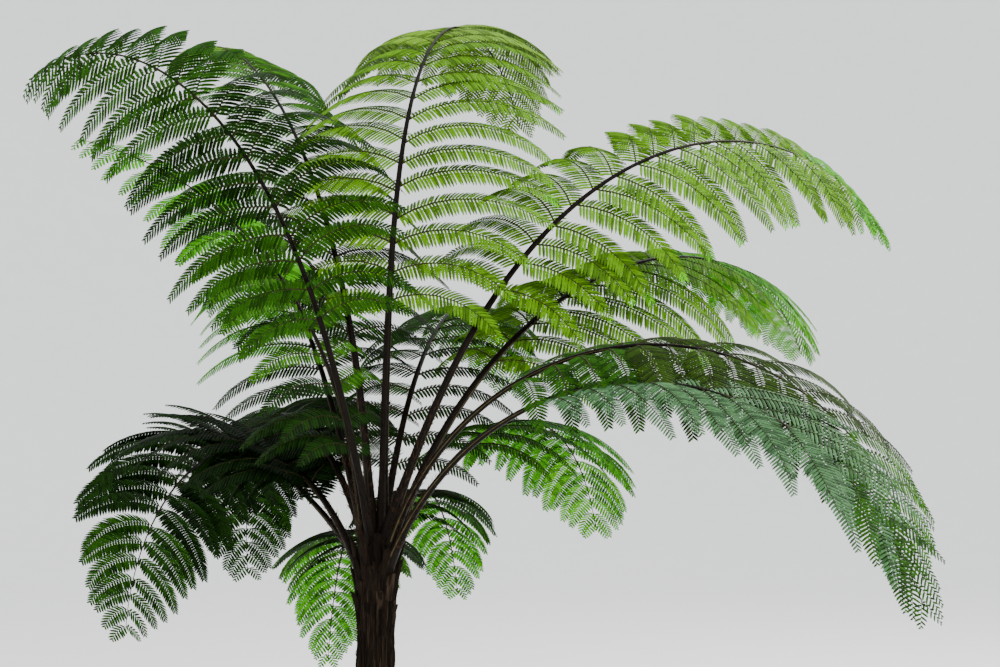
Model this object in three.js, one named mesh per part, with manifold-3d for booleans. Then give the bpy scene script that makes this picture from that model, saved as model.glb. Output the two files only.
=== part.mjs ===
// A tree fern: a fibrous trunk and a crown of arching fronds. Each frond is three pieces: its bare
// stalk, the blade up to where it bends over, and the drooping tip.
import * as THREE from "three";
import { mergeVertices } from "three/addons/utils/BufferGeometryUtils.js";
import Module from "manifold-3d";

// Driving sizes, in millimetres and degrees. Headings turn from +X toward +Y, and -Y is the front.
const CROWN = new THREE.Vector3(20, 0, 1400);   // where the trunk stops tapering and the dome begins
const DOME = { rise: 130, shares: [0.45, 0.8, 1] };
const TRUNK_PROFILE = [                         // radius at each share of the height below the dome
  [0, 118], [0.04, 98], [0.14, 78], [0.35, 66], [0.7, 63], [0.9, 72], [1, 78],
];
const ROOT_LOBES = { count: 5, depth: 0.16, reach: 260 };
const TRUNK_SIDES = 20;
const TRUNK_RINGS = 14;

const STALK = { baseRadius: 18.5, tipRadius: 1.6, taper: 1.15, swelling: 0.2, swellingReach: 0.06 };
const USUAL_LENGTH = 2800;                      // of the frond that STALK describes
const BARE_SHARE = 0.3;                         // of a frond's length, before its first leaflet
const BEND_SHARE = 0.6;                         // where the blade ends and the tip begins
const STALK_MESH = { steps: 5, sides: 8 };
const MIDRIB_MESH = { steps: 6, sides: 4 };
const STRIDES = 60;                             // along each arch, as it is walked
const GAP = 0.3;
const SMALLEST_DETAIL = 0.1;

const LEAFLET = {
  spacing: 148, crowding: 1.2,                  // along the midrib, closer toward the frond's tip
  longest: 0.2,                                 // share of the frond's length
  first: 0.68, filling: 1.6,                    // share of the longest at the foot, and its growth
  waning: 0.86, waningPower: 3,                 // its loss toward the frond's tip
  width: 0.82, narrowest: 0.45,                 // shares of the spacing, and of that width
  thickness: 0.02,                              // share of its own length
  rootSize: 0.3,                                // share of the midrib's radius
  splay: 68, tipSplay: 42,                      // angle from the midrib, at the frond's foot and tip
  lift: 8,                                      // how far its start rises above its splay
  kept: 0.45, droop: 60, steepest: -80,         // its tip's angle is that share of its start's, lowered
  bend: 0.9,
  facing: 0.5,                                  // from flat to the sky, 0, to flat with the frond, 1
};
const LEAFLET_RINGS = [0, 0.12, 0.55, 1];       // shares of its length
const LEAFLET_FULLNESS = [0, 0.5, 1, 0];        // share of its full width at each of them
const LENGTH_TRIALS = [1, 0.85, 0.7, 0.55, 0.4, 0.25];
const LEAFLET_CLEARANCE = 1;

// Where the stalks' hidden feet lie in the trunk, from the oldest and lowest ring to the youngest
const RINGS = {
  lowest: { radius: 58, height: -105 },
  low: { radius: 54, height: -55 },
  outer: { radius: 56, height: 0 },
  middle: { radius: 50, height: 50 },
  inner: { radius: 26, height: 85 },
};
// Each frond leaves its seat on the ring toward its heading, and swings as it falls from its rise to
// its tip angle. A higher bend keeps it straight for longer. Roll lowers the leaflets on its right
// hand and raises the others, and the frond twists that much more by its tip. Breadth, spread and
// slack are shares of the leaflets' usual length, splay and droop. Lift and bare replace the usual ones.
const FRONDS = [
  { name: "left_high", ring: "inner", seat: 240, heading: 243, swing: 6, rise: 69,
    tip: -36, bend: 2.03, length: 2640, roll: 42, twist: 0, breadth: 0.9 },
  { name: "left_upright", ring: "inner", seat: 140, heading: 122, swing: -7, rise: 84,
    tip: 5, bend: 1.18, length: 3250, roll: 0, twist: 0, bare: 0.22 },
  { name: "upright", ring: "inner", seat: 50, heading: 81, swing: -15, rise: 86,
    tip: -57, bend: 2.28, length: 3420, roll: 0, twist: 0, bare: 0.24 },
  { name: "right_high", ring: "inner", seat: 330, heading: 24, swing: 14, rise: 70,
    tip: -48, bend: 1.7, length: 3300, roll: 52, twist: 0, breadth: 0.85 },
  { name: "right_back", ring: "middle", seat: 15, heading: 35, swing: 30, rise: 70,
    tip: -38, bend: 1.05, length: 3250, roll: 20, twist: 0, bare: 0.24 },
  { name: "left_back", ring: "middle", seat: 140, heading: 120, swing: -22, rise: 62,
    tip: -51, bend: 1.9, length: 2540, roll: -20, twist: 20, bare: 0.16 },
  { name: "left_side", ring: "middle", seat: 200, heading: 182, swing: 0, rise: 86,
    tip: 12, bend: 1.4, length: 1950, roll: -40, twist: 0, bare: 0.16 },
  { name: "back_middle", ring: "middle", seat: 80, heading: 76, swing: 0, rise: 66,
    tip: -50, bend: 1.4, length: 2500, roll: 0, twist: 0, bare: 0.12 },
  { name: "right_middle", ring: "middle", seat: 320, heading: 344, swing: -28, rise: 73,
    tip: -76, bend: 1.05, length: 2540, roll: 20, twist: 0 },
  { name: "right_low", ring: "outer", seat: 316, heading: 331, swing: -16, rise: 67,
    tip: -69, bend: 1, length: 2520, roll: 20, twist: 0, spread: 0.6, slack: 0.7,
    bare: 0.34 },
  { name: "left_low", ring: "low", seat: 150, heading: 128, swing: 12, rise: 55,
    tip: -86, bend: 1.14, length: 2340, roll: -40, twist: 110, lift: 30, breadth: 1.25,
    bare: 0.2 },
  { name: "left_back_low", ring: "outer", seat: 118, heading: 119, swing: -26, rise: 59,
    tip: -70, bend: 1.03, length: 2530, roll: -40, twist: 40, lift: 16, breadth: 1.12,
    bare: 0.2 },
  { name: "left_far_low", ring: "low", seat: 117, heading: 130, swing: -33, rise: 42.5,
    tip: -32, bend: 1.1, length: 2120, roll: 0, twist: 0, lift: 60, breadth: 1.1, slack: 0.6,
    bare: 0.2 },
  { name: "back_right_low", ring: "outer", seat: 60, heading: 60, swing: 11, rise: 46,
    tip: -62, bend: 1.4, length: 2260, roll: 0, twist: 0, breadth: 1.15 },
  { name: "back_right_hanging", ring: "low", seat: 82, heading: 82, swing: 0, rise: 38,
    tip: -60, bend: 1.2, length: 1950, roll: 0, twist: 0, bare: 0.2 },
  { name: "back_left_hanging", ring: "lowest", seat: 100, heading: 100, swing: 4, rise: 24,
    tip: -68, bend: 1.4, length: 2110, roll: 0, twist: 0, bare: 0.2 },
].map((frond) => ({ bare: BARE_SHARE, ...frond }));

const trunkMaterial = new THREE.MeshStandardMaterial({ color: 0x2e2119, roughness: 0.95, metalness: 0 });
const stalkMaterial = new THREE.MeshStandardMaterial({ color: 0x2a1f16, roughness: 0.6, metalness: 0 });
const leafMaterial = new THREE.MeshStandardMaterial({ color: 0x4f8a2a, roughness: 0.6, metalness: 0 });

const wasm = await Module();
wasm.setup();
const { Manifold, Mesh } = wasm;

const radians = THREE.MathUtils.degToRad;
const mix = THREE.MathUtils.lerp;

function toSolid(geometry) {
  geometry.deleteAttribute("normal");
  geometry.deleteAttribute("uv");
  const merged = mergeVertices(geometry);
  return new Manifold(new Mesh({
    numProp: 3,
    vertProperties: new Float32Array(merged.attributes.position.array),
    triVerts: new Uint32Array(merged.index.array),
  }));
}

function toMesh(solid, name, material) {
  const { vertProperties, triVerts } = solid.getMesh();
  const geometry = new THREE.BufferGeometry();
  geometry.setAttribute("position", new THREE.BufferAttribute(vertProperties, 3));
  geometry.setIndex(new THREE.BufferAttribute(triVerts, 1));
  geometry.computeVertexNormals();
  const mesh = new THREE.Mesh(geometry, material);
  mesh.name = name;
  return mesh;
}

function largestPiece(solid) {
  return solid.decompose().reduce((a, b) => (a.volume() > b.volume() ? a : b));
}

// The trunk is turned on a lathe, then its foot is lobed and its axis leans to the crown. Growth
// makes it that much fatter all over.
function makeTrunk(growth) {
  const below = TRUNK_PROFILE.map(([share, radius]) => new THREE.Vector2(radius, share * CROWN.z));
  const wall = new THREE.SplineCurve(below).getPoints(TRUNK_RINGS);
  const dome = DOME.shares.map((share) => {
    const radius = TRUNK_PROFILE.at(-1)[1] * Math.sqrt(1 - share * share);
    return new THREE.Vector2(radius, CROWN.z + share * (DOME.rise + growth));
  });
  const profile = [new THREE.Vector2(0, 0), ...wall, ...dome];
  const geometry = new THREE.LatheGeometry(profile, TRUNK_SIDES).rotateX(Math.PI / 2);
  const position = geometry.attributes.position;
  for (let i = 0; i < position.count; i++) {
    const [x, y, z] = [position.getX(i), position.getY(i), position.getZ(i)];
    const radius = Math.hypot(x, y);
    const flare = ROOT_LOBES.depth * Math.max(0, 1 - z / ROOT_LOBES.reach) ** 2;
    const lobe = 1 + flare * Math.cos(ROOT_LOBES.count * Math.atan2(y, x));
    const scale = radius > 0 ? lobe * (radius + growth) / radius : 1;
    const lean = z / CROWN.z;
    position.setXYZ(i, x * scale + CROWN.x * lean, y * scale + CROWN.y * lean, z);
  }
  return toSolid(geometry);
}

// Three unit vectors at a share of an arch: along it, to its right, and out of its upper side
function directionsAt(arch, share) {
  const heading = radians(arch.heading + arch.swing * share * share);
  const slope = radians(mix(arch.rise, arch.tip, share ** arch.bend));
  const along = new THREE.Vector3(
    Math.cos(slope) * Math.cos(heading), Math.cos(slope) * Math.sin(heading), Math.sin(slope));
  const roll = radians((arch.roll ?? 0) + (arch.twist ?? 0) * share);
  const side = new THREE.Vector3(Math.sin(heading), -Math.cos(heading), 0).applyAxisAngle(along, roll);
  return { along, side, up: side.clone().cross(along) };
}

// Walks along an arch from its start, and gives the places of the shares asked for
function walk(arch, start, shares) {
  const path = [start.clone()];
  for (let i = 0; i < STRIDES; i++) {
    const { along } = directionsAt(arch, (i + 0.5) / STRIDES);
    path.push(path[i].clone().addScaledVector(along, arch.length / STRIDES));
  }
  return shares.map((share) => {
    const i = Math.min(Math.floor(share * STRIDES), STRIDES - 1);
    const at = path[i].clone().lerp(path[i + 1], share * STRIDES - i);
    return { share, at, ...directionsAt(arch, share) };
  });
}

// A closed tube through rings that each have a place, directions, a width and a thickness. A pointed
// one ends at its last ring's place, with a corner of each ring on top.
function sweep(rings, sides, pointed) {
  const steps = rings.length - 1;
  const turn = pointed ? 0 : Math.PI / sides;
  const geometry = new THREE.CylinderGeometry(pointed ? 0 : 1, 1, 1, sides, steps, false, turn);
  const position = geometry.attributes.position;
  for (let i = 0; i < position.count; i++) {
    const share = position.getY(i) + 0.5;
    const ring = rings[Math.round(share * steps)];
    const spread = pointed && share < 1 ? 1 - share : 1;
    const point = ring.at.clone()
      .addScaledVector(ring.side, position.getX(i) / spread * ring.wide)
      .addScaledVector(ring.up, position.getZ(i) / spread * ring.thick);
    position.setXYZ(i, point.x, point.y, point.z);
  }
  return toSolid(geometry);
}

function stalkRadius(frond, share) {
  const taper = mix(STALK.tipRadius, STALK.baseRadius, (1 - share) ** STALK.taper);
  const swelling = 1 + STALK.swelling * Math.max(0, 1 - share / STALK.swellingReach);
  return taper * swelling * Math.sqrt(frond.length / USUAL_LENGTH);
}

function frondStart(frond) {
  const { radius, height } = RINGS[frond.ring];
  const seat = radians(frond.seat);
  return new THREE.Vector3(radius * Math.cos(seat), radius * Math.sin(seat), height);
}

// A stretch of a frond's midrib between two shares of its length
function makeMidrib(frond, from, to, { steps, sides }, growth = 0) {
  const shares = Array.from({ length: steps + 1 }, (_, i) => mix(from, to, i / steps));
  const rings = walk(frond, frondStart(frond), shares).map((ring) => {
    const radius = stalkRadius(frond, ring.share) + growth;
    return { ...ring, wide: radius, thick: radius };
  });
  return sweep(rings, sides, false);
}

// How long a leaflet is at a share of the leafy part: short at the foot, long above it, short at the tip
function leafletShare(along) {
  const filling = Math.min(1, LEAFLET.first + LEAFLET.filling * along);
  return filling * (1 - LEAFLET.waning * along ** LEAFLET.waningPower);
}

// One leaflet of a frond: a thin three-sided blade that rises from the midrib and droops to its point
function makeLeaflet(frond, along, hand, trial) {
  const share = mix(frond.bare, 1, along);
  const [root] = walk(frond, frondStart(frond), [share]);
  const splay = radians(mix(LEAFLET.splay, LEAFLET.tipSplay, along) * (frond.spread ?? 1));
  const leaving = root.along.clone().multiplyScalar(Math.cos(splay))
    .addScaledVector(root.side, hand * Math.sin(splay));
  const rise = THREE.MathUtils.radToDeg(Math.asin(leaving.z)) + (frond.lift ?? LEAFLET.lift);
  const droop = LEAFLET.droop * (frond.slack ?? 1);
  const arch = {
    heading: THREE.MathUtils.radToDeg(Math.atan2(leaving.y, leaving.x)), swing: 0,
    rise, tip: Math.max(rise * LEAFLET.kept - droop, LEAFLET.steepest), bend: LEAFLET.bend,
    length: frond.length * LEAFLET.longest * (frond.breadth ?? 1) * leafletShare(along) * trial,
  };
  const narrowing = mix(LEAFLET.narrowest, 1, leafletShare(along));
  const halfWidth = LEAFLET.spacing * LEAFLET.width / 2 * narrowing;
  const rootSize = stalkRadius(frond, share) * LEAFLET.rootSize;
  const lean = (1 - LEAFLET.facing) * Math.asin(root.along.z);
  const face = root.up.clone().multiplyScalar(Math.cos(lean))
    .addScaledVector(root.along, Math.sin(lean));
  const rings = walk(arch, root.at, LEAFLET_RINGS).map((ring, i) => {
    const side = ring.along.clone().cross(face).normalize();
    const wide = i === 0 ? rootSize : halfWidth * LEAFLET_FULLNESS[i];
    const thick = i === 0 ? rootSize : arch.length * LEAFLET.thickness * LEAFLET_FULLNESS[i];
    return { at: ring.at, side, up: side.clone().cross(ring.along), wide, thick };
  });
  return sweep(rings, 3, true);
}

function boxesMeet(a, b, margin) {
  return [0, 1, 2].every((i) => a.min[i] - margin < b.max[i] && b.min[i] - margin < a.max[i]);
}

// Adds the leaflets of one piece, each as long as the room among the other pieces allows
function growLeaflets(piece, placed) {
  const { frond, from, to } = piece;
  const count = Math.round(frond.length * (1 - frond.bare) / LEAFLET.spacing);
  const parts = [piece.solid];
  for (let i = 0; i < count; i++) {
    const along = 1 - (1 - (i + 0.5) / count) ** LEAFLET.crowding;
    const share = mix(frond.bare, 1, along);
    if (share < from || share > to) continue;
    for (const hand of [-1, 1]) {
      for (const trial of LENGTH_TRIALS) {
        const leaflet = makeLeaflet(frond, along, hand, trial);
        const box = leaflet.boundingBox();
        const blocked = placed.some((other) => other.piece !== piece
          && boxesMeet(box, other.box, LEAFLET_CLEARANCE)
          && leaflet.minGap(other.solid, 2 * LEAFLET_CLEARANCE) < LEAFLET_CLEARANCE);
        if (blocked) continue;
        parts.push(leaflet);
        placed.push({ piece, solid: leaflet, box });
        break;
      }
    }
  }
  return largestPiece(Manifold.union(parts)).simplify(SMALLEST_DETAIL);
}

function makeStalks(trunkRoom) {
  const stalks = [];
  let taken = trunkRoom;
  for (const frond of FRONDS) {
    const whole = makeMidrib(frond, 0, frond.bare, STALK_MESH);
    stalks.push({ frond, kind: "stalk", solid: largestPiece(whole.subtract(taken)) });
    taken = taken.add(makeMidrib(frond, 0, frond.bare, STALK_MESH, GAP));
  }
  return stalks;
}

// The bare midribs of each frond's blade and tip
function makeLeafyPieces(frond) {
  const gap = GAP / frond.length;
  return [
    { frond, kind: "blade", from: frond.bare + gap, to: BEND_SHARE },
    { frond, kind: "tip", from: BEND_SHARE + gap, to: 1 },
  ].map((piece) => ({ ...piece, solid: makeMidrib(frond, piece.from, piece.to, MIDRIB_MESH) }));
}

// Stalks come first, then midribs, then the leaflets that find room between them
function makeCrown() {
  const trunkRoom = makeTrunk(GAP).translate([-CROWN.x, -CROWN.y, -CROWN.z]);
  const stalks = makeStalks(trunkRoom);
  const leafy = FRONDS.flatMap(makeLeafyPieces);
  const placed = [...stalks, ...leafy, { solid: trunkRoom }].map((piece) => (
    { piece, solid: piece.solid, box: piece.solid.boundingBox() }));
  for (const piece of leafy) piece.solid = growLeaflets(piece, placed);

  const crown = new THREE.Group();
  crown.position.copy(CROWN);
  for (const { frond, kind, solid } of [...stalks, ...leafy]) {
    crown.add(toMesh(solid, `${frond.name}_${kind}`, kind === "stalk" ? stalkMaterial : leafMaterial));
  }
  return crown;
}

const fern = new THREE.Group();
fern.add(toMesh(makeTrunk(0), "trunk", trunkMaterial), makeCrown());

export default fern;
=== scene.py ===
"""A tree fern: a trunk clad in root fibres, and a crown of long arching fronds.

Sizes are in metres and angles in degrees. Headings turn from +X toward +Y, and -Y is the front. The
fronds grow by the rule of the fern's solids, carried on to the leaflets' own leaflets, here called
pinnules. Only the stalks are slimmer here, and more swollen at the foot.
"""

import math

import bpy
import numpy as np
from bpy.props import FloatProperty, FloatVectorProperty, IntProperty, PointerProperty
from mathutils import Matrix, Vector
from mathutils.bvhtree import BVHTree


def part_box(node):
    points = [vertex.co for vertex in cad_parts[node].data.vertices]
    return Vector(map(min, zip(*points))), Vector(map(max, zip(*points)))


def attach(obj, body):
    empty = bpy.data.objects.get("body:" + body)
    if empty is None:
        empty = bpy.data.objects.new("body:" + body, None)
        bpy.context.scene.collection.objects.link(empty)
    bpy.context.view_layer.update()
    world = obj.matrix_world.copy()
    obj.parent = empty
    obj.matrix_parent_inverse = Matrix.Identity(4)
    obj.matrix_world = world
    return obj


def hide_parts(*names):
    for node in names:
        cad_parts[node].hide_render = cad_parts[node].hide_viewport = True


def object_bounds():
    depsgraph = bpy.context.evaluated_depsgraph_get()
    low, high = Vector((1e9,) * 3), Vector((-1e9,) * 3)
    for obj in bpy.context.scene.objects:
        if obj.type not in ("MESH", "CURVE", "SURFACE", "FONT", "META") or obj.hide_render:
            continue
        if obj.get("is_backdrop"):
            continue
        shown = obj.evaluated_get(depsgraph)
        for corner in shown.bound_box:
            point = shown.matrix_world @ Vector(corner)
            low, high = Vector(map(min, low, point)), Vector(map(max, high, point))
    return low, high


bl_info = {
    "name": "Tree fern",
    "version": (1, 0, 0),
    "blender": (4, 5, 0),
    "location": "3D View > Sidebar > Tree fern",
    "description": "Grows a tree fern with a fibrous trunk and fine fronds around its solids",
    "category": "Add Mesh",
}

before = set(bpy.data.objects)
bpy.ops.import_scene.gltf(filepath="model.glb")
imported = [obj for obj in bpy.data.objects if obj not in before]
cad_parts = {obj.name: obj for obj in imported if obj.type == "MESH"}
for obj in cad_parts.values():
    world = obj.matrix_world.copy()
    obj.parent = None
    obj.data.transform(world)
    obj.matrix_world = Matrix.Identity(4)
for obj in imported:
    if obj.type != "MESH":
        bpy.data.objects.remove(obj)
CAD_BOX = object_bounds()
TRUNK_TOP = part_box("trunk")[1].z

# The rule of growth
CROWN = np.array([0.020, 0.0, 1.400])     # where the trunk stops tapering and its dome begins
STRIDES = 120                             # along each arch, as it is walked
BARE_SHARE = 0.3                          # of a frond's length, before its first leaflet
USUAL_LENGTH = 2.8                        # of the frond that the stalk's radii describe
STALK = dict(
    base=0.0166, tip=0.0016, taper=1.4,   # radii at its ends, and the taper's power
    swelling=0.58, swelling_reach=0.075,  # how much thicker its foot is, and up to which share
)
LEAFLET = dict(
    crowding=1.2,                         # above 1, leaflets stand closer toward the frond's tip
    longest=0.2,                          # the longest one, as a share of the frond's length
    first=0.68, filling=1.6,              # the lowest one's share of that, and the gain from there
    waning=0.86, waning_power=3,          # how much shorter they are at the tip, and how late
    splay=68, tip_splay=42,               # angle from the midrib, at the frond's foot and tip
    kept=0.45, droop=60, steepest=-80,    # its tip keeps that share of its rise, less the droop
    bend=0.9,                             # below 1, it bends more near its start
    facing=0.5,                           # from flat to the sky, 0, to flat with the frond, 1
)
RINGS = {                                 # radius and height of the stalks' hidden feet
    "lowest": (0.058, -0.105), "low": (0.054, -0.055), "outer": (0.056, 0.0),
    "middle": (0.050, 0.050), "inner": (0.026, 0.085),
}


def frond(ring, seat, heading, swing, rise, tip, bend, length, roll, twist, tones,
          lift=8, breadth=1, spread=1, slack=1, fullness=1, bare=BARE_SHARE):
    """One frond's place, arch and leaf tones, from its foot to its tip.

    Its foot stands on a ring, on the seat's side of the trunk. It starts toward its heading at the
    slope rise, turns by its swing and ends at the slope tip. A bend above 1 keeps most of that for
    its outer part. Roll lowers the leaflets on its right hand and raises the others, and the frond
    twists that much more by its tip. Lift is how far the leaflets start above its plane. Breadth,
    spread and slack are shares of their usual length, splay and droop, and fullness is a share of
    the pinnules' usual length and width. Bare is how much of it comes before the first leaflet.
    """
    return dict(
        ring=ring, seat=seat, heading=heading, swing=swing, rise=rise, tip=tip, bend=bend,
        length=length, roll=roll, twist=twist, tones=tones, lift=lift,
        breadth=breadth, spread=spread, slack=slack, fullness=fullness, bare=bare,
    )


# The fronds' tones paint light as well as their greens: those on the crown's left take dark tones
# for the shade there, and those on its right bright ones for the light through them from behind.
FRONDS = {
    "left_high": frond(
        "inner", 240, 243, 6, 69, -36, 2.03, 2.64, 42, 0,
        ("leaf", "deep", "leaf", "leaf"), breadth=0.9),
    "left_upright": frond(
        "inner", 140, 122, -7, 84, 5, 1.18, 3.25, 0, 0,
        ("deep", "leaf", "fresh", "lime"), bare=0.22),
    "upright": frond(
        "inner", 50, 81, -15, 86, -57, 2.28, 3.42, 0, 0,
        ("lime", "lime", "pale", "pale"), bare=0.24),
    "right_high": frond(
        "inner", 330, 24, 14, 70, -48, 1.7, 3.30, 52, 0,
        ("lime", "lime", "lime", "sunlit"), breadth=0.85),
    "right_back": frond(
        "middle", 15, 35, 30, 70, -38, 1.05, 3.25, 20, 0,
        ("lime", "lime", "sunlit", "bright"), bare=0.24),
    "left_back": frond(
        "middle", 140, 120, -22, 62, -51, 1.9, 2.54, -20, 20,
        ("deep", "sunlit", "sunlit", "bright"), bare=0.16),
    "left_side": frond(
        "middle", 200, 182, 0, 86, 12, 1.4, 1.95, -40, 0,
        ("deep", "fresh", "sunlit", "sunlit"), bare=0.16),
    "back_middle": frond(
        "middle", 80, 76, 0, 66, -50, 1.4, 2.50, 0, 0,
        ("deep", "leaf", "fresh", "sunlit"), bare=0.12),
    "right_middle": frond(
        "middle", 320, 344, -28, 73, -76, 1.05, 2.54, 20, 0,
        ("leaf", "olive", "olive", "fresh")),
    # This frond's grey-blue tone is partly a painted sheen of the sky on its leaflets' upper sides.
    "right_low": frond(
        "outer", 316, 331, -16, 67, -69, 1, 2.52, 20, 0,
        ("glaucous_sheen", "glaucous_sheen", "glaucous_sheen", "leaf"),
        spread=0.6, slack=0.7, fullness=0.8, bare=0.34),
    "left_low": frond(
        "low", 150, 128, 12, 55, -86, 1.14, 2.34, -40, 110,
        ("shade", "deep", "deep", "leaf"), lift=30, breadth=1.25, fullness=1.25, bare=0.2),
    "left_back_low": frond(
        "outer", 118, 119, -26, 59, -70, 1.03, 2.53, -40, 40,
        ("shade", "deep", "deep", "leaf"), lift=16, breadth=1.12, fullness=1.2, bare=0.2),
    "left_far_low": frond(
        "low", 117, 130, -33, 42.5, -32, 1.1, 2.12, 0, 0,
        ("shade", "deep", "deep", "leaf"),
        lift=60, breadth=1.1, slack=0.6, fullness=1.2, bare=0.2),
    "back_right_low": frond(
        "outer", 60, 60, 11, 46, -62, 1.4, 2.26, 0, 0,
        ("fresh", "sunlit", "sunlit", "bright"), breadth=1.15, fullness=1.1),
    "back_right_hanging": frond(
        "low", 82, 82, 0, 38, -60, 1.2, 1.95, 0, 0,
        ("deep", "leaf", "sunlit", "sunlit"), fullness=1.15, bare=0.2),
    "back_left_hanging": frond(
        "lowest", 100, 100, 4, 24, -68, 1.4, 2.11, 0, 0,
        ("deep", "fresh", "sunlit", "sunlit"), fullness=1.15, bare=0.2),
}

# Besides the leaves' own greens, these tones paint light: shade, deep and the other dark ones paint
# the shade over the crown's left, and lime, sunlit and bright paint the light shining through the
# backlit fronds on its right.
LEAF_TONES = {                            # plain colours, dealt out leaflet by leaflet, partly painted light and shade
    "shade": (0.0022, 0.0110, 0.0005),
    "deep": (0.0052, 0.0250, 0.0006),
    "leaf": (0.0130, 0.0620, 0.0008),
    "fresh": (0.0280, 0.1150, 0.0010),
    "lime": (0.0740, 0.1950, 0.0009),
    "sunlit": (0.0480, 0.2600, 0.0010),
    "olive": (0.0150, 0.0380, 0.0008),
    # The grey-blue tone below is partly a painted sheen of the sky on the leaflets' upper sides.
    "glaucous_sheen": (0.0520, 0.1250, 0.0500),
    "bright": (0.0850, 0.3600, 0.0012),
    "pale": (0.1250, 0.2600, 0.0150),
}
TONE_ORDER = list(LEAF_TONES)
BRIGHT_ENDED = "lime", "sunlit"           # leaflets of these tones have bright ends

SEEDS = dict(trunk=11, scales=5, leaflets=100, pinnules=500)  # the last two count up by frond
FINE_SIDES, FINE_RINGS = 5, 9             # of the tubes that are root fibres and leaflets' ribs


# Settings, as a user would change them

class TrunkSettings(bpy.types.PropertyGroup):
    grain: FloatProperty(
        name="Mesh grain", description="Size of the faces that carry the bark's relief",
        default=0.0042, unit="LENGTH")
    relief: FloatProperty(
        name="Relief", description="Depth of the furrows between root fibres",
        default=0.012, unit="LENGTH")
    fibres: IntProperty(
        name="Root fibres", description="How many roots run down the outside of the trunk",
        default=820)
    fibre_radius: FloatProperty(
        name="Fibre radius", description="Radius of a middling root fibre",
        default=0.0024, unit="LENGTH")
    stumps: IntProperty(
        name="Old stalks", description="How many old stalk bases stand round the crown's foot",
        default=30)
    colour: FloatVectorProperty(
        name="Bark", description="Colour of the dry root fibres", subtype="COLOR",
        default=(0.0062, 0.0040, 0.0026))
    # Painted shade, put in the furrows between the fibres.
    furrow_shade_colour: FloatVectorProperty(
        name="Furrows", description="Colour deep between the fibres", subtype="COLOR",
        default=(0.0010, 0.0008, 0.0005))


class StalkSettings(bpy.types.PropertyGroup):
    colour: FloatVectorProperty(
        name="Stalk", description="Colour of the stalks and midribs", subtype="COLOR",
        default=(0.0040, 0.0024, 0.0013))
    # A painted highlight: the pale line along each side of a frond's lower part.
    highlight_line_colour: FloatVectorProperty(
        name="Side highlight", description="Colour of the pale line along each side of a stalk",
        subtype="COLOR", default=(0.045, 0.036, 0.014))
    rib_colour: FloatVectorProperty(
        name="Ribs", description="Colour of the leaflets' own ribs", subtype="COLOR",
        default=(0.022, 0.020, 0.007))
    groove: FloatProperty(
        name="Groove", description="Depth of the groove on top, as a share of the radius",
        default=0.22, min=0, max=0.5)
    scales: IntProperty(
        name="Scales", description="How many chaffy scales cling to each stalk's foot",
        default=220)


class LeafletSettings(bpy.types.PropertyGroup):
    spacing: FloatProperty(
        name="Leaflet spacing", description="Distance between leaflets along a midrib",
        default=0.096, unit="LENGTH")
    pinnule_spacing: FloatProperty(
        name="Pinnule spacing", description="Distance between pinnules along a leaflet",
        default=0.0132, unit="LENGTH")
    pinnule_length: FloatProperty(
        name="Pinnule length", description="Longest pinnule, as a share of the frond's length",
        default=0.034)
    pinnule_width: FloatProperty(
        name="Pinnule width", description="Width of a pinnule, as a share of their spacing",
        default=1.02)
    hang: FloatProperty(
        name="Hang", description="How far the pinnules hang down from the leaflet's rib",
        default=0.42)


class StageSettings(bpy.types.PropertyGroup):
    camera_place: FloatVectorProperty(
        name="Camera", description="Where the photograph was taken from", subtype="TRANSLATION",
        default=(0.46, -6.0, 1.85))
    camera_pitch: FloatProperty(
        name="Pitch", description="How far the camera looks up", subtype="ANGLE",
        default=math.radians(3.72))
    lens: FloatProperty(
        name="Lens", description="Focal length in millimetres on a 36 mm sensor", default=60)
    floor_reach: FloatProperty(
        name="Floor", description="Radius of the level floor, which curves up beyond it",
        default=16, unit="LENGTH")
    wall_height: FloatProperty(
        name="Wall", description="Height of the wall that the floor curves up into",
        default=14, unit="LENGTH")
    floor_colour: FloatVectorProperty(
        name="Floor colour", description="Colour of the floor and wall", subtype="COLOR",
        default=(0.84, 0.85, 0.84))


# Arrays of points and faces

def mix(a, b, share):
    return a + (b - a) * share


def unit(vectors):
    return vectors / np.linalg.norm(vectors, axis=-1, keepdims=True)


class Growth:
    """Collects the points and faces of many small things, to join them in one mesh."""

    def __init__(self):
        self.points, self.faces, self.finishes, self.count = [], [], [], 0

    def add(self, points, groups, *finishes):
        """Takes points (n, 3), groups of faces, and a finish for each group or one for them all. A
        finish is a material's number, or an array with one for each face."""
        if len(finishes) == 1:
            finishes *= len(groups)
        for faces, finish in zip(groups, finishes):
            self.faces.append(faces + self.count)
            self.finishes.append(np.broadcast_to(finish, len(faces)))
        self.points.append(points)
        self.count += len(points)

    def mesh(self, name, materials, smooth):
        data = bpy.data.meshes.new(name)
        widths = np.concatenate([np.full(len(faces), faces.shape[1]) for faces in self.faces])
        corners = np.concatenate([faces.ravel() for faces in self.faces])
        data.vertices.add(self.count)
        data.vertices.foreach_set("co", np.concatenate(self.points).astype(np.float32).ravel())
        data.loops.add(len(corners))
        data.polygons.add(len(widths))
        data.polygons.foreach_set("loop_start", np.cumsum(widths) - widths)
        data.polygons.foreach_set("vertices", corners.astype(np.int32))
        data.polygons.foreach_set("material_index", np.concatenate(self.finishes).astype(np.int32))
        data.polygons.foreach_set("use_smooth", np.full(len(widths), smooth))
        for material in materials:
            data.materials.append(material)
        data.update(calc_edges=True)
        data.validate()
        return link(name, data)


def link(name, data):
    piece = bpy.data.objects.new(name, data)
    bpy.context.collection.objects.link(piece)
    return piece


def select_only(piece):
    bpy.ops.object.select_all(action="DESELECT")
    piece.select_set(True)
    bpy.context.view_layer.objects.active = piece


def finish_piece(piece, slot, *nodes):
    """Attaches a piece of the fern to the root body, and hides the solids that it stands for."""
    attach(piece, "root")
    if nodes:
        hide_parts(*nodes)


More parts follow.
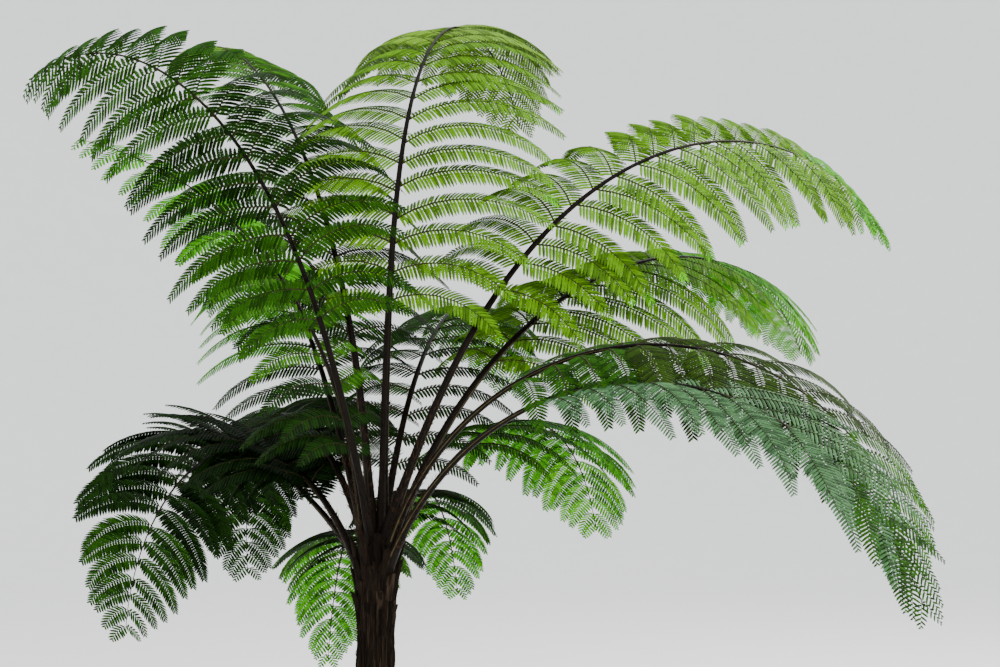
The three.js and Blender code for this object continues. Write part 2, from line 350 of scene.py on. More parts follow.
def tube(at, side, up, radii, sides, section=None):
    """A closed tube round a path. radii holds one radius for each place, and section the share of
    it at each side, counted from the right hand toward the upper side."""
    angles = np.arange(sides) / sides * 2 * math.pi
    shape = np.ones(sides) if section is None else section(angles)
    reach = np.asarray(radii)[:, None, None] * shape[None, :, None]
    spokes = side[:, None] * np.cos(angles)[:, None] + up[:, None] * np.sin(angles)[:, None]
    rings = at[:, None] + spokes * reach
    points = np.concatenate([rings.reshape(-1, 3), at[:1], at[-1:]])
    steps = len(at) - 1
    ring = np.arange(sides)
    after = (ring + 1) % sides
    quads = np.stack([ring, after, after + sides, ring + sides], axis=1)
    walls = (quads[None] + np.arange(steps)[:, None, None] * sides).reshape(-1, 4)
    first = np.full(sides, len(points) - 2)
    last = np.full(sides, len(points) - 1)
    start = np.stack([after, ring, first], axis=1)
    end = np.stack([ring + steps * sides, after + steps * sides, last], axis=1)
    return points, [walls, np.concatenate([start, end])]


# The source's rule

def directions_at(arch, shares):
    """Unit vectors at shares of an arch: along it, to its right, and out of its upper side."""
    heading = np.radians(arch["heading"] + arch["swing"] * shares**2)
    slope = np.radians(mix(arch["rise"], arch["tip"], shares**arch["bend"]))
    along = np.stack(
        [np.cos(slope) * np.cos(heading), np.cos(slope) * np.sin(heading), np.sin(slope)], axis=-1)
    level = np.stack([np.sin(heading), -np.cos(heading), np.zeros_like(heading)], axis=-1)
    roll = np.radians(arch.get("roll", 0) + arch.get("twist", 0) * shares)[..., None]
    side = level * np.cos(roll) - np.cross(level, along) * np.sin(roll)
    return along, side, np.cross(side, along)


def walk(arch, start, shares):
    """Places along an arch from its start, with the directions there."""
    middles = (np.arange(STRIDES) + 0.5) / STRIDES
    strides = directions_at(arch, middles)[0] * arch["length"] / STRIDES
    path = start + np.concatenate([np.zeros((1, 3)), np.cumsum(strides, axis=0)])
    before = np.minimum((shares * STRIDES).astype(int), STRIDES - 1)
    part = (shares * STRIDES - before)[:, None]
    return mix(path[before], path[before + 1], part), *directions_at(arch, shares)


def frond_start(arch):
    radius, height = RINGS[arch["ring"]]
    seat = math.radians(arch["seat"])
    return CROWN + np.array([radius * math.cos(seat), radius * math.sin(seat), height])


def stalk_radius(arch, share):
    taper = mix(STALK["tip"], STALK["base"], (1 - share) ** STALK["taper"])
    swelling = 1 + STALK["swelling"] * np.maximum(0, 1 - share / STALK["swelling_reach"])
    return taper * swelling * math.sqrt(arch["length"] / USUAL_LENGTH)


def leaflet_share(along):
    """How long a leaflet is at a share of the leafy part, against the frond's longest."""
    filling = min(1, LEAFLET["first"] + LEAFLET["filling"] * along)
    return filling * (1 - LEAFLET["waning"] * along ** LEAFLET["waning_power"])


def leaflets_of(arch, spacing, rng):
    """Yields each leaflet of a frond: its own arch, its start, the direction that its face looks,
    and its share along the leafy part."""
    count = round(arch["length"] * (1 - arch["bare"]) / spacing)
    for i in range(count):
        for hand in (-1, 1):
            along = 1 - (1 - (i + 0.5 + rng.uniform(-0.12, 0.12)) / count) ** LEAFLET["crowding"]
            share = np.array([mix(arch["bare"], 1, along)])
            at, forward, side, up = (values[0] for values in walk(arch, frond_start(arch), share))
            splay = mix(LEAFLET["splay"], LEAFLET["tip_splay"], along) * arch["spread"]
            splay = math.radians(splay + rng.normal(0, 2))
            leaving = forward * math.cos(splay) + side * hand * math.sin(splay)
            rise = math.degrees(math.asin(leaving[2])) + arch["lift"] + rng.normal(0, 2.5)
            size = LEAFLET["longest"] * arch["breadth"] * leaflet_share(along)
            droop = LEAFLET["droop"] * arch["slack"] + rng.normal(0, 4)
            leaflet = dict(
                heading=math.degrees(math.atan2(leaving[1], leaving[0])),
                swing=rng.normal(0, 3), rise=rise,
                tip=max(rise * LEAFLET["kept"] - droop, LEAFLET["steepest"]),
                bend=LEAFLET["bend"], length=arch["length"] * size * rng.uniform(0.93, 1.02))
            lean = (1 - LEAFLET["facing"]) * math.asin(forward[2])
            face = up * math.cos(lean) + forward * math.sin(lean)
            yield leaflet, at, face, along


# Materials

def new_material(name, roughness, specular=0.5):
    material = bpy.data.materials.new(name)
    material.use_nodes = True
    nodes = material.node_tree.nodes
    shader = nodes["Principled BSDF"]
    shader.inputs["Roughness"].default_value = roughness
    shader.inputs["Specular IOR Level"].default_value = specular
    return material, nodes, material.node_tree.links, shader


def object_noise(nodes, links, scale, stretch=(1, 1, 1), detail=4.0, roughness=0.6):
    """Noise over the object's own coordinates, drawn out along an axis where stretch is small."""
    place = nodes.new("ShaderNodeTexCoord")
    mapping = nodes.new("ShaderNodeMapping")
    mapping.inputs["Scale"].default_value = stretch
    noise = nodes.new("ShaderNodeTexNoise")
    noise.inputs["Scale"].default_value = scale
    noise.inputs["Detail"].default_value = detail
    noise.inputs["Roughness"].default_value = roughness
    links.new(place.outputs["Object"], mapping.inputs["Vector"])
    links.new(mapping.outputs["Vector"], noise.inputs["Vector"])
    return noise.outputs["Fac"]


def ramp(nodes, links, value, stops):
    """A colour ramp over a value, with stops as pairs of position and colour."""
    node = nodes.new("ShaderNodeValToRGB")
    elements = node.color_ramp.elements
    for element, (position, colour) in zip(elements, stops):
        element.position, element.color = position, (*colour, 1)
    for position, colour in stops[2:]:
        elements.new(position).color = (*colour, 1)
    links.new(value, node.inputs["Fac"])
    return node.outputs["Color"]


def bump(nodes, links, shader, height, strength, distance):
    node = nodes.new("ShaderNodeBump")
    node.inputs["Strength"].default_value = strength
    node.inputs["Distance"].default_value = distance
    links.new(height, node.inputs["Height"])
    links.new(node.outputs["Normal"], shader.inputs["Normal"])


def shade(colour, amount):
    return tuple(min(1, channel * amount) for channel in colour)


def fibrous(name, colour, deep, scale, roughness=0.9):
    """Dry fibres that run up the trunk, with painted shade dark between them and a lighter brown on
    their ridges, partly a painted highlight.
    """
    material, nodes, links, shader = new_material(name, roughness, specular=0.04)
    along = object_noise(nodes, links, scale, stretch=(1, 1, 0.08), detail=6)
    # Painted shade: the ramp darkens the furrows that the same noise carves as bumps, and lightens
    # the ridges, partly a painted highlight.
    stops = [(0.30, deep), (0.48, colour), (0.62, shade(colour, 1.7)), (0.78, shade(colour, 3.0))]
    links.new(ramp(nodes, links, along, stops), shader.inputs["Base Color"])
    bump(nodes, links, shader, along, strength=0.9, distance=0.003)
    return material


def polished(name, colour, roughness, contrast=1.8):
    """The hard skin of a stalk or a rib, a little streaked."""
    material, nodes, links, shader = new_material(name, roughness, specular=0.06)
    streaks = object_noise(nodes, links, 60, stretch=(1, 1, 0.3), detail=5)
    stops = [(0.30, shade(colour, 1 / contrast)), (0.52, colour), (0.75, shade(colour, contrast))]
    links.new(ramp(nodes, links, streaks, stops), shader.inputs["Base Color"])
    fine = object_noise(nodes, links, 500, detail=3)
    bump(nodes, links, shader, fine, strength=0.35, distance=0.0006)
    return material


def leafy(name, colour):
    """A leaf's skin: a plain colour, faintly mottled, with a soft gloss and a fine grain."""
    material, nodes, links, shader = new_material(name, 0.55, specular=0.05)
    mottle = object_noise(nodes, links, 55, detail=3)
    stops = [(0.30, shade(colour, 0.74)), (0.50, colour), (0.72, shade(colour, 1.28))]
    links.new(ramp(nodes, links, mottle, stops), shader.inputs["Base Color"])
    grain = object_noise(nodes, links, 700, detail=2)
    bump(nodes, links, shader, grain, strength=0.3, distance=0.0004)
    return material


# The trunk

LOOSE_EVERY = 3                           # one root fibre in that many stands off the bark
LOOSE_LENGTH, LOOSE_RADIUS = 0.3, 0.6     # of such a fibre, against the others'
COLLAR = dict(                            # of old stalk bases round the crown's foot
    top=0.045, depth=0.20,                # its top above the crown's foot, and its own height
    tallest=3.2, shortest=0.7,            # how much its top base is stretched, and its lowest one
    sunk=0.014, set_back=0.009,           # how far down and inward their feet are set in the bark
)


class BarkSurface:
    """Finds the trunk's surface at an angle round its axis and a height."""

    def __init__(self, piece):
        data = piece.data
        self.tree = BVHTree.FromPolygons(
            [vertex.co for vertex in data.vertices], [face.vertices for face in data.polygons])

    def place(self, angle, height):
        """The surface's place, and the direction out of it."""
        out = Vector((math.cos(angle), math.sin(angle), 0))
        axis = Vector((CROWN[0] * height / CROWN[2], 0, height))
        hit = self.tree.ray_cast(axis + out * 0.5, -out)[0]
        return np.array(hit if hit else axis + out * 0.01), np.array(out)


def ring_noise(rng, turns, heights):
    """Smooth noise over shares of a turn and of the height, which closes round the turn. It has
    that many cells in a turn and in the height."""
    grid = rng.uniform(-1, 1, (turns, heights + 2))

    def sample(turn, height):
        across, upward = turn % 1 * turns, np.clip(height, 0, 1) * heights
        column, row = across.astype(int) % turns, upward.astype(int)
        to_right, to_top = across % 1, upward % 1
        to_right, to_top = (share * share * (3 - 2 * share) for share in (to_right, to_top))
        beside = (column + 1) % turns
        low = mix(grid[column, row], grid[beside, row], to_right)
        high = mix(grid[column, row + 1], grid[beside, row + 1], to_right)
        return mix(low, high, to_top)

    return sample


def carve_bark(piece, relief, rng):
    """Pushes the trunk's wall in and out, into ropes of roots that run up it."""
    data = piece.data
    points = np.zeros(len(data.vertices) * 3, np.float32)
    data.vertices.foreach_get("co", points)
    points = points.reshape(-1, 3).astype(float)
    height = points[:, 2] / TRUNK_TOP
    axis = np.stack([CROWN[0] * points[:, 2] / CROWN[2], np.zeros(len(points))], axis=1)
    outward = points[:, :2] - axis
    turn = np.arctan2(outward[:, 1], outward[:, 0]) / (2 * math.pi)
    sway = ring_noise(rng, 5, 7)(turn, height) * 0.05
    ropes = 1 - np.abs(ring_noise(rng, 40, 11)(turn + sway, height))
    strands = 1 - np.abs(ring_noise(rng, 84, 34)(turn + sway * 0.6, height))
    lumps = ring_noise(rng, 7, 13)(turn, height)
    depth = relief * (ropes**2 * 0.55 + strands**2 * 0.4 + lumps * 0.45 - 0.45)
    radius = np.linalg.norm(outward, axis=1)
    points[:, :2] += outward / np.maximum(radius, 0.01)[:, None] * depth[:, None]
    data.vertices.foreach_set("co", points.astype(np.float32).ravel())
    data.update()


def make_bark(settings, material, rng):
    """The trunk's solid, remeshed finely and carved."""
    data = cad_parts["trunk"].data.copy()
    data.name = "bark"
    data.materials.clear()
    data.materials.append(material)
    bark = link("bark", data)
    select_only(bark)
    bpy.ops.object.mode_set(mode="EDIT")
    bpy.ops.mesh.select_all(action="SELECT")
    bpy.ops.mesh.remove_doubles(threshold=0.00005)
    bpy.ops.object.mode_set(mode="OBJECT")
    remesh = bark.modifiers.new("grain", "REMESH")
    remesh.mode, remesh.voxel_size = "VOXEL", settings.grain
    bpy.ops.object.modifier_apply(modifier=remesh.name)
    smooth = bark.modifiers.new("even", "SMOOTH")
    smooth.iterations = 6
    bpy.ops.object.modifier_apply(modifier=smooth.name)
    carve_bark(bark, settings.relief, rng)
    bpy.ops.object.shade_smooth()
    return bark


def add_fibre(growth, surface, rng, radius, loose):
    """One root that follows the bark down, and ends in it or stands off it."""
    length = rng.uniform(0.10, 0.38) * (LOOSE_LENGTH if loose else 1)
    top = rng.uniform(0.12, TRUNK_TOP - 0.06)
    bottom = max(top - length, 0.004)
    shares = np.linspace(0, 1, FINE_RINGS)
    heights = mix(top, bottom, shares)
    drift = rng.normal(0, 0.10) + rng.normal(0, 0.05) * np.sin(shares * rng.uniform(3, 7))
    angles = rng.uniform(0, 2 * math.pi) + drift * shares
    found = [surface.place(angle, height) for angle, height in zip(angles, heights)]
    at, out = (np.array(values) for values in zip(*found))
    lift = radius * (0.3 - 1.6 * (2 * shares - 1) ** 4)
    if loose:
        lift = radius * 0.5 + rng.uniform(0.003, 0.015) * shares**2
    at = at + out * lift[:, None]
    along = unit(np.gradient(at, axis=0))
    side = unit(np.cross(along, out))
    taper = 1 - 0.75 * shares if loose else 1 - 0.5 * np.abs(2 * shares - 1) ** 3
    points, faces = tube(at, side, np.cross(side, along), radius * taper, FINE_SIDES)
    points[:, 2] = np.maximum(points[:, 2], 0.0015)
    growth.add(points, faces, rng.integers(3))


def make_fibres(settings, surface, materials, rng):
    growth = Growth()
    for i in range(settings.fibres):
        loose = i % LOOSE_EVERY == 0
        radius = settings.fibre_radius * rng.uniform(0.55, 1.5) * (LOOSE_RADIUS if loose else 1)
        add_fibre(growth, surface, rng, radius, loose)
    return growth.mesh("root_fibres", materials, smooth=True)


def model_stump():
    """An old stalk's base, standing on the origin: a stub that bends up, with a torn end."""
    bpy.ops.object.select_all(action="DESELECT")
    bpy.ops.mesh.primitive_cylinder_add(
        vertices=10, radius=0.0125, depth=0.02, end_fill_type="NGON")
    stump = bpy.context.object
    bpy.ops.object.mode_set(mode="EDIT")
    for shift, tilt, size in ((0.012, 10, 0.96), (0.010, 12, 0.94), (0.008, 8, 0.9)):
        select_top(stump)
        bpy.ops.mesh.extrude_region_move(TRANSFORM_OT_translate={"value": (shift * 0.3, 0, shift)})
        bpy.ops.transform.rotate(
            value=math.radians(tilt), orient_axis="Y", center_override=top_centre(stump))
        bpy.ops.transform.resize(value=(size, size, size), center_override=top_centre(stump))
    select_top(stump)
    bpy.ops.mesh.inset(thickness=0.0022)
    bpy.ops.transform.translate(value=(0, 0, -0.004))
    bpy.ops.object.mode_set(mode="OBJECT")
    bevel = stump.modifiers.new("worn", "BEVEL")
    bevel.width, bevel.segments = 0.0012, 1
    bpy.ops.object.modifier_apply(modifier=bevel.name)
    return stump


def highest_face(piece):
    return max(piece.data.polygons, key=lambda face: face.center.z + face.normal.z * 0.02)


def select_top(piece):
    """Selects the piece's upper end, in edit mode."""
    bpy.ops.object.mode_set(mode="OBJECT")
    top = highest_face(piece).index
    for group in (piece.data.vertices, piece.data.edges, piece.data.polygons):
        group.foreach_set("select", np.zeros(len(group), bool))
    piece.data.polygons[top].select = True
    bpy.ops.object.mode_set(mode="EDIT")
    bpy.ops.mesh.select_mode(type="FACE")


def top_centre(piece):
    piece.update_from_editmode()
    return tuple(max((face for face in piece.data.polygons if face.select),
                     key=lambda face: face.center.z).center)


def make_stumps(settings, surface, materials, rng):
    """Copies of one stump, each turned and sized, that stand round the crown's foot."""
    model = model_stump()
    shape = np.array([vertex.co for vertex in model.data.vertices])
    triangles = model_faces(model)
    bpy.data.objects.remove(model)
    growth = Growth()
    golden_angle = math.radians(137.5)
    for i in range(settings.stumps):
        share = (i + 0.5) / settings.stumps
        height = CROWN[2] + COLLAR["top"] - COLLAR["depth"] * share
        place, out = surface.place(i * golden_angle, height)
        up = np.array([0, 0, 1.0])
        lean = unit(out * rng.uniform(0.06, 0.26) + up)
        side = unit(np.cross(out, up))
        size = rng.uniform(0.85, 1.25)
        tall = rng.uniform(0.8, 1.2) * mix(COLLAR["tallest"], COLLAR["shortest"], share)
        axes = np.stack([-np.cross(side, lean), side * 1.3, lean * tall])
        root = place - lean * COLLAR["sunk"] - out * COLLAR["set_back"]
        growth.add(root + (shape * size) @ axes, [triangles], rng.integers(3))
    return growth.mesh("old_stalks", materials, smooth=True)


def model_faces(piece):
    """The piece's faces as triangles, which Growth can add."""
    piece.data.calc_loop_triangles()
    return np.array([triangle.vertices for triangle in piece.data.loop_triangles])


class FERN_OT_trunk(bpy.types.Operator):
    """Makes the trunk: carved bark, root fibres and the bases of old stalks"""
    bl_idname = "fern.trunk"
    bl_label = "Trunk"

    def execute(self, context):
        settings = context.scene.fern_trunk
        rng = np.random.default_rng(SEEDS["trunk"])
        bark_material = fibrous("bark", settings.colour, settings.furrow_shade_colour, 55)
        bark = make_bark(settings, bark_material, rng)
        finish_piece(bark, "trunk", "trunk")
        surface = BarkSurface(bark)
        fibre_materials = [
            fibrous("fibre_dark", shade(settings.colour, 0.5), settings.furrow_shade_colour, 90),
            fibrous("fibre_brown", tuple(settings.colour), settings.furrow_shade_colour, 90),
            fibrous("fibre_rust", shade(settings.colour, 2.4), settings.furrow_shade_colour, 90),
        ]
        finish_piece(make_fibres(settings, surface, fibre_materials, rng), "trunk")
        finish_piece(make_stumps(settings, surface, fibre_materials, rng), "trunk")
        return {"FINISHED"}


# The stalks

class FERN_OT_stalks(bpy.types.Operator):
    """Makes each frond's stalk and midrib, the ribs of its leaflets, and the scales at its foot"""
    bl_idname = "fern.stalks"
    bl_label = "Stalks and ribs"

    def execute(self, context):
        settings = context.scene.fern_stalks
        spacing = context.scene.fern_leaflets.spacing
        materials = [
            polished("stalk", settings.colour, 0.42),
            # The pale lines are a painted highlight along the stalks' sides.
            polished("stalk_highlight", settings.highlight_line_colour, 0.55),
            polished("midrib", mix_colour(settings.colour, settings.rib_colour, 0.45), 0.45),
            polished("rib", settings.rib_colour, 0.5),
        ]
        for seed, (name, arch) in enumerate(FRONDS.items()):
            growth = Growth()
            add_midrib(growth, arch, settings)
            for leaflet, at, face, along in leaflets_of(arch, spacing, leaflet_rng(seed)):
                add_rib(growth, arch, leaflet, at, face, along)
            piece = growth.mesh(f"{name}_midrib", materials, smooth=True)
            finish_piece(piece, "stalk", f"{name}_stalk")
        finish_piece(make_scales(settings), "stalk")
        return {"FINISHED"}


def leaflet_rng(seed):
    """The same draws for a frond's ribs and for its leaves."""
    return np.random.default_rng(SEEDS["leaflets"] + seed)


def mix_colour(a, b, share):
    return tuple(mix(np.array(a), np.array(b), share))


STALK_SIDES, STALK_RINGS = 24, 90
STALK_FINISH, HIGHLIGHT_FINISH, MIDRIB_FINISH, RIB_FINISH = range(4)
HIGHLIGHT_FROM, HIGHLIGHT_TO = 0.02, 0.45           # shares of a frond between which its pale lines of painted highlight show
MIDRIB_FROM = 0.62                        # share of a frond at which its stalk turns paler
GROOVE_WIDTH = 0.45                       # radians from its middle to where it's a third as deep
RIB = dict(                               # radii of a leaflet's rib
    root=0.0008, thickening=0.0064,       # at its root, for no length and for each metre more
    most=0.45,                            # at its root, as a share of the midrib's
    tip=0.0005,
)
SCALES_FROM, SCALES_REACH = 0.035, 0.13   # share of a frond where scales start, and their reach


def add_midrib(growth, arch, settings):
    """A frond's stalk and midrib: grooved on top, with a pale line of painted highlight along each
    side of the stalk.
    """
    shares = np.linspace(0, 1, STALK_RINGS) ** 1.15
    at, _, side, up = walk(arch, frond_start(arch), shares)

    def section(angles):
        from_top = np.abs(angles - math.pi / 2)
        return 1 - settings.groove * np.exp(-(from_top / GROOVE_WIDTH) ** 2)

    points, (walls, ends) = tube(
        at, side, up, stalk_radius(arch, shares), STALK_SIDES, section)
    share = np.repeat(shares[:-1], STALK_SIDES)
    column = np.tile(np.arange(STALK_SIDES), len(shares) - 1)
    finish = np.where(share > MIDRIB_FROM, MIDRIB_FINISH, STALK_FINISH)
    # Painted highlight: a pale line down each side of the frond's lower part.
    beside = np.isin(column, (0, STALK_SIDES // 2 - 1))
    finish[beside & (share > HIGHLIGHT_FROM) & (share < HIGHLIGHT_TO)] = HIGHLIGHT_FINISH
    growth.add(points, [walls, ends], finish, MIDRIB_FINISH)


def add_rib(growth, arch, leaflet, start, face, along):
    """The rib of one leaflet, from the midrib to its point."""
    shares = np.linspace(0, 1, FINE_RINGS)
    at, _, side, up = leaflet_directions(leaflet, start, face, shares)
    midrib = stalk_radius(arch, mix(arch["bare"], 1, along))
    root = min(midrib * RIB["most"], RIB["thickening"] * leaflet["length"] + RIB["root"])
    radii = mix(root, RIB["tip"], shares**0.8)
    points, faces = tube(at, side, up, radii, FINE_SIDES)
    growth.add(points, faces, RIB_FINISH)


def leaflet_directions(leaflet, start, face, shares):
    """Places along a leaflet's rib, and the directions along it, to its right and off its face."""
    at, forward, _, _ = walk(leaflet, start, shares)
    side = unit(np.cross(forward, face))
    return at, forward, side, np.cross(side, forward)


def make_scales(settings):
    """Thin chaffy scales that cling to the feet of the stalks."""
    rng = np.random.default_rng(SEEDS["scales"])
    growth = Growth()
    for arch in FRONDS.values():
        shares = SCALES_FROM + SCALES_REACH * rng.uniform(0, 1, settings.scales) ** 1.8
        at, along, side, up = walk(arch, frond_start(arch), shares)
        angles = rng.uniform(0, 2 * math.pi, settings.scales)[:, None]
        out = side * np.cos(angles) + up * np.sin(angles)
        across = np.cross(along, out)
        root = at + out * (stalk_radius(arch, shares) * 0.96)[:, None]
        length = rng.uniform(0.010, 0.024, settings.scales)[:, None]
        width = length * 0.09
        lean = unit(along * 0.8 + out * rng.uniform(0.1, 0.7, (settings.scales, 1))
                    + across * rng.normal(0, 0.25, (settings.scales, 1)))
        middle = root + lean * length * 0.5
        tip = root + lean * length + out * length * 0.12
        corners = np.stack(
            [root - across * width, root + across * width, middle + across * width,
             middle - across * width, tip], axis=1)
        first = np.arange(settings.scales)[:, None] * 5
        growth.add(corners.reshape(-1, 3), [first + [0, 1, 2, 3], first + [3, 2, 4]],
                   rng.integers(2))
    materials = [
        polished("scale_rust", (0.026, 0.013, 0.007), 0.7),
        polished("scale_dark", (0.011, 0.007, 0.005), 0.7),
    ]
    return growth.mesh("stalk_scales", materials, smooth=False)


# The leaves

PINNULE = dict(
    leafy=0.97, fewest=4,                 # share of a leaflet that they fill, and the least a side
    start=0.02, end=0.985,                # shares of a leaflet between which they stand
    stagger=0.2,                          # of a step, forward on the right and back on the left
    first=0.62, filling=2.0,              # the lowest one's share of the longest, and its gain
    waning=0.80, waning_power=2.6,        # how much shorter they are at the tip, and how late
    splay=80, tip_splay=50,               # angle from the rib, at the leaflet's foot and tip
    fall=0.4,                             # how far its sides fall, against half its width
)
LOBES = 5                                 # on each side of a pinnule
LOBE_FROM, LOBE_TO = 0.07, 1.05           # where a lobe's outer edge lies, in steps past its root
DIM_SHARE, DIMNESS = 0.4, 0.5             # how many pinnules are shaded, and how bright those are


def pinnule_profile(shares):
    """Length of a leaflet's pinnules along it, against its longest."""
    filling = np.minimum(1, PINNULE["first"] + PINNULE["filling"] * shares)
    return filling * (1 - PINNULE["waning"] * shares ** PINNULE["waning_power"])


def grow_pinnules(arch, leaflet, start, face, settings, rng):
    """Roots, directions and sizes of the pinnules on one leaflet."""
    leafy = leaflet["length"] * PINNULE["leafy"]
    count = max(int(leafy / settings.pinnule_spacing), PINNULE["fewest"])
    middles = (np.arange(count) + 0.5) / count
    shares = np.tile(mix(PINNULE["start"], PINNULE["end"], middles), 2)
    hands = np.repeat([-1.0, 1.0], count)
    shares = np.clip(shares + hands * PINNULE["stagger"] / count, 0, 1)
    at, forward, side, up = leaflet_directions(leaflet, start, face, shares)
    tapering = math.sqrt(leaflet["length"] / (arch["length"] * LEAFLET["longest"]))
    longest = arch["length"] * settings.pinnule_length * arch["fullness"]
    length = longest * tapering * pinnule_profile(shares)
    splay = mix(PINNULE["splay"], PINNULE["tip_splay"], shares**1.5)
    angle = np.radians(splay + rng.normal(0, 1.2, len(shares)))[:, None]
    return dict(
        root=at, forward=forward, side=side * hands[:, None], up=up, hand=hands, angle=angle,
        length=length * rng.uniform(0.93, 1.04, len(shares)), share=shares)


def pinnule_points(leaves, fullness, settings):
    """Points of many pinnules at once: their ribs, then the outer corners of their lobes."""
    down = np.array([0, 0, -1.0])
    up = leaves["up"]
    leaving = leaves["forward"] * np.cos(leaves["angle"]) + leaves["side"] * np.sin(leaves["angle"])
    step = (leaves["length"] / LOBES)[:, None]
    ribs, fronts, normals = [leaves["root"]], [], []
    for i in range(LOBES):
        heading = unit(leaving + down * settings.hang * ((i + 0.5) / LOBES) ** 0.8)
        fronts.append(unit(np.cross(up, heading)) * leaves["hand"][:, None])
        normals.append(np.cross(heading, fronts[-1]) * leaves["hand"][:, None])
        ribs.append(ribs[-1] + heading * step)
    half = settings.pinnule_spacing * settings.pinnule_width / 2 * fullness
    size = (leaves["length"] / leaves["length"].max()) ** 0.35
    corners = []
    for i in range(LOBES):
        heading = ribs[i + 1] - ribs[i]
        breadth = min(1, 0.8 + 1.5 * i / LOBES) * (1 - (i / LOBES) ** 3 * 0.75)
        wide = (half * breadth * size)[:, None]
        for way in (-1, 1):
            for reach, spread in ((LOBE_FROM, 1.0), (LOBE_TO, 0.86)):
                if i == LOBES - 1 and reach == LOBE_TO:
                    reach, spread = 1.0, 0.25
                corners.append(ribs[i] + heading * reach + fronts[i] * way * wide * spread
                               - normals[i] * wide * PINNULE["fall"])
    return np.stack(ribs + corners, axis=1)


def pinnule_faces():
    """Faces of a pinnule of the right hand, with its upper side up."""
    faces = []
    for i in range(LOBES):
        outer = LOBES + 1 + 4 * i
        faces.append([i + 1, i, outer, outer + 1])
        faces.append([i, i + 1, outer + 3, outer + 2])
    return np.array(faces)


def tone_of(tones, along, rng):
    """The colour of a leaflet by its share along the frond, with some chance in it."""
    place = np.clip(along * len(tones) + rng.normal(0, 0.22), 0, len(tones) - 0.01)
    return TONE_ORDER.index(tones[int(place)])


def leaf_materials():
    """Two materials for each tone: the tone itself, and the same in the shade of its neighbours."""
    return [leafy(f"leaf_{name}_{light}", shade(colour, amount))
            for name, colour in LEAF_TONES.items()
            for light, amount in (("lit", 1), ("dim", DIMNESS))]


def make_leaves(name, arch, seed, settings, materials):
    """All the pinnules of one frond, in one mesh."""
    rng = np.random.default_rng(SEEDS["pinnules"] + seed)
    bright = TONE_ORDER.index("bright")
    grown = []
    for leaflet, at, face, along in leaflets_of(arch, settings.spacing, leaflet_rng(seed)):
        leaves = grow_pinnules(arch, leaflet, at, face, settings, rng)
        tone = tone_of(arch["tones"], along, rng)
        tones = np.full(len(leaves["share"]), tone)
        if TONE_ORDER[tone] in BRIGHT_ENDED:
            tones[leaves["share"] > rng.uniform(0.86, 1.05)] = bright
        leaves["finish"] = tones * 2 + (rng.uniform(0, 1, len(tones)) < DIM_SHARE)
        grown.append(leaves)
    leaves = {key: np.concatenate([leaflet[key] for leaflet in grown]) for key in grown[0]}
    points = pinnule_points(leaves, arch["fullness"], settings)
    faces = pinnule_faces()
    growth = Growth()
    for hand in (-1, 1):
        chosen = leaves["hand"] == hand
        wound = faces if hand == 1 else faces[:, ::-1]
        firsts = np.arange(chosen.sum()) * points.shape[1]
        all_faces = (wound[None] + firsts[:, None, None]).reshape(-1, 4)
        finish = np.repeat(leaves["finish"][chosen], len(faces))
        growth.add(points[chosen].reshape(-1, 3), [all_faces], finish)
    return growth.mesh(f"{name}_leaflets", materials, smooth=False)


class FERN_OT_leaflets(bpy.types.Operator):
    """Makes the leaflets of every frond, with all their pinnules"""
    bl_idname = "fern.leaflets"
    bl_label = "Leaflets"

    def execute(self, context):
        settings = context.scene.fern_leaflets
        materials = leaf_materials()
        for seed, (name, arch) in enumerate(FRONDS.items()):
            piece = make_leaves(name, arch, seed, settings, materials)
            finish_piece(piece, "leaf", f"{name}_blade", f"{name}_tip")
        return {"FINISHED"}


# The stage

def add_area_light(name, place, target, size, power, colour=(1, 1, 1)):
    data = bpy.data.lights.new(name, "AREA")
    data.shape, data.size, data.energy, data.color = "DISK", size, power, colour
    lamp = link(name, data)
    lamp.location = place
    lamp.rotation_euler = (Vector(target) - Vector(place)).to_track_quat("-Z", "Y").to_euler()


WALL_STEPS = 16


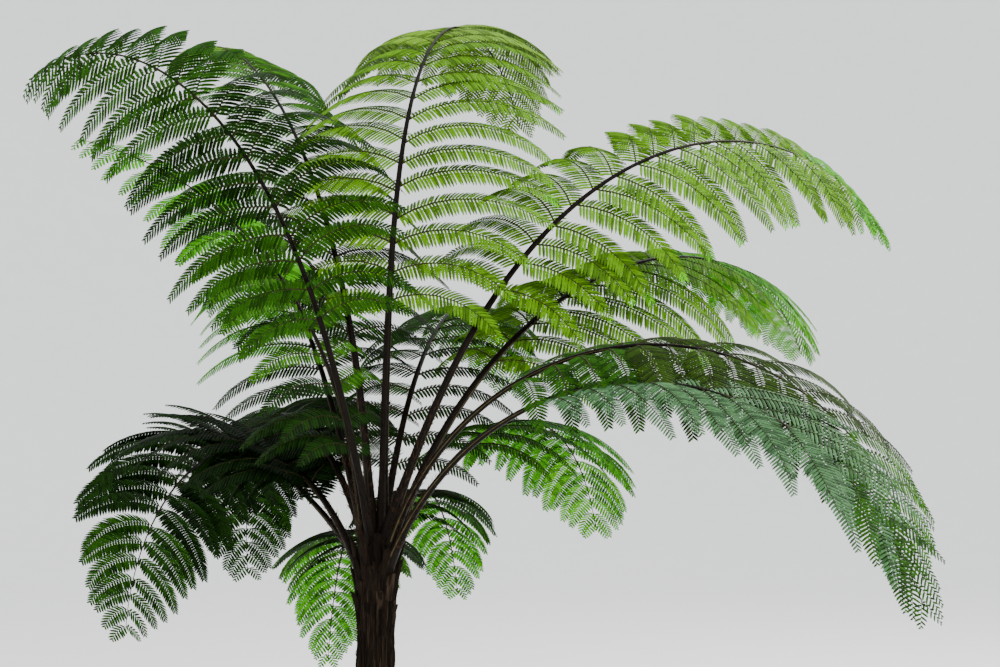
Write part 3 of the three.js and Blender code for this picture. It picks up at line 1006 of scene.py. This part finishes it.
def make_floor(settings):
    """A level floor that curves up into a wall all round, with no edge to see."""
    bpy.ops.object.select_all(action="DESELECT")
    bpy.ops.mesh.primitive_circle_add(vertices=128, radius=settings.floor_reach)
    floor = bpy.context.object
    floor.name = "floor"
    bpy.ops.object.mode_set(mode="EDIT")
    bpy.ops.mesh.select_all(action="SELECT")
    bpy.ops.mesh.edge_face_add()
    turns = np.linspace(0, math.pi / 2, WALL_STEPS + 1)
    radii = settings.floor_reach + settings.wall_height * np.sin(turns)
    heights = settings.wall_height * (1 - np.cos(turns))
    for i in range(WALL_STEPS):
        bpy.ops.mesh.extrude_edges_move(
            TRANSFORM_OT_translate={"value": (0, 0, heights[i + 1] - heights[i])})
        wider = radii[i + 1] / radii[i]
        bpy.ops.transform.resize(
            value=(wider, wider, 1), center_override=(0, 0, heights[i + 1]))
    bpy.ops.mesh.select_all(action="SELECT")
    bpy.ops.mesh.normals_make_consistent(inside=True)
    bpy.ops.object.mode_set(mode="OBJECT")
    bpy.ops.object.shade_smooth()
    material, nodes, links, shader = new_material("floor", 0.85, specular=0.2)
    cloudy = object_noise(nodes, links, 3, detail=3)
    tone = tuple(settings.floor_colour)
    stops = [(0.3, shade(tone, 0.985)), (0.7, shade(tone, 1.015))]
    links.new(ramp(nodes, links, cloudy, stops), shader.inputs["Base Color"])
    floor.data.materials.append(material)
    floor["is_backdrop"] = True


class FERN_OT_stage(bpy.types.Operator):
    """Makes the plain floor, the soft lights and the photograph's camera"""
    bl_idname = "fern.stage"
    bl_label = "Stage"

    def execute(self, context):
        settings = context.scene.fern_stage
        make_floor(settings)
        world = bpy.data.worlds.new("studio")
        world.use_nodes = True
        background = world.node_tree.nodes["Background"]
        background.inputs["Color"].default_value = (0.93, 0.95, 0.96, 1)
        background.inputs["Strength"].default_value = 1.7
        context.scene.world = world
        middle = (0.5, 0, 2.0)
        add_area_light("key", (7, 3, 9), middle, 6, 1500, (1.0, 0.98, 0.90))
        add_area_light("front", (3, -9, 5), middle, 6, 700)
        add_area_light("left", (-8, -2, 4), middle, 5, 200)
        camera_data = bpy.data.cameras.new("camera")
        camera_data.lens, camera_data.sensor_width = settings.lens, 36
        camera = link("camera", camera_data)
        camera.location = settings.camera_place
        camera.rotation_euler = (math.radians(90) + settings.camera_pitch, 0, 0)
        context.scene.camera = camera
        return {"FINISHED"}


class FERN_PT_panel(bpy.types.Panel):
    """Lists the fern's settings and the steps that make it"""
    bl_idname = "FERN_PT_panel"
    bl_label = "Tree fern"
    bl_space_type = "VIEW_3D"
    bl_region_type = "UI"
    bl_category = "Tree fern"

    def draw(self, context):
        for operator, settings in STEPS:
            box = self.layout.box()
            group = getattr(context.scene, settings)
            for name in group.bl_rna.properties.keys():
                if name not in ("rna_type", "name"):
                    box.prop(group, name)
            box.operator(operator.bl_idname)


SETTINGS = {
    "fern_trunk": TrunkSettings, "fern_stalks": StalkSettings,
    "fern_leaflets": LeafletSettings, "fern_stage": StageSettings,
}
STEPS = (
    (FERN_OT_trunk, "fern_trunk"), (FERN_OT_stalks, "fern_stalks"),
    (FERN_OT_leaflets, "fern_leaflets"), (FERN_OT_stage, "fern_stage"),
)
CLASSES = (*SETTINGS.values(), *(operator for operator, _ in STEPS), FERN_PT_panel)


def register():
    for item in CLASSES:
        bpy.utils.register_class(item)
    for name, group in SETTINGS.items():
        setattr(bpy.types.Scene, name, PointerProperty(type=group))


def unregister():
    for name in SETTINGS:
        delattr(bpy.types.Scene, name)
    for item in reversed(CLASSES):
        bpy.utils.unregister_class(item)


def main():
    register()
    bpy.ops.fern.trunk()
    bpy.ops.fern.stalks()
    bpy.ops.fern.leaflets()
    bpy.ops.fern.stage()
    boxes = {"cad": CAD_BOX, "visual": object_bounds()}
    {name: [list(corner) for corner in box] for name, box in boxes.items()}


if __name__ == "__main__":
    main()
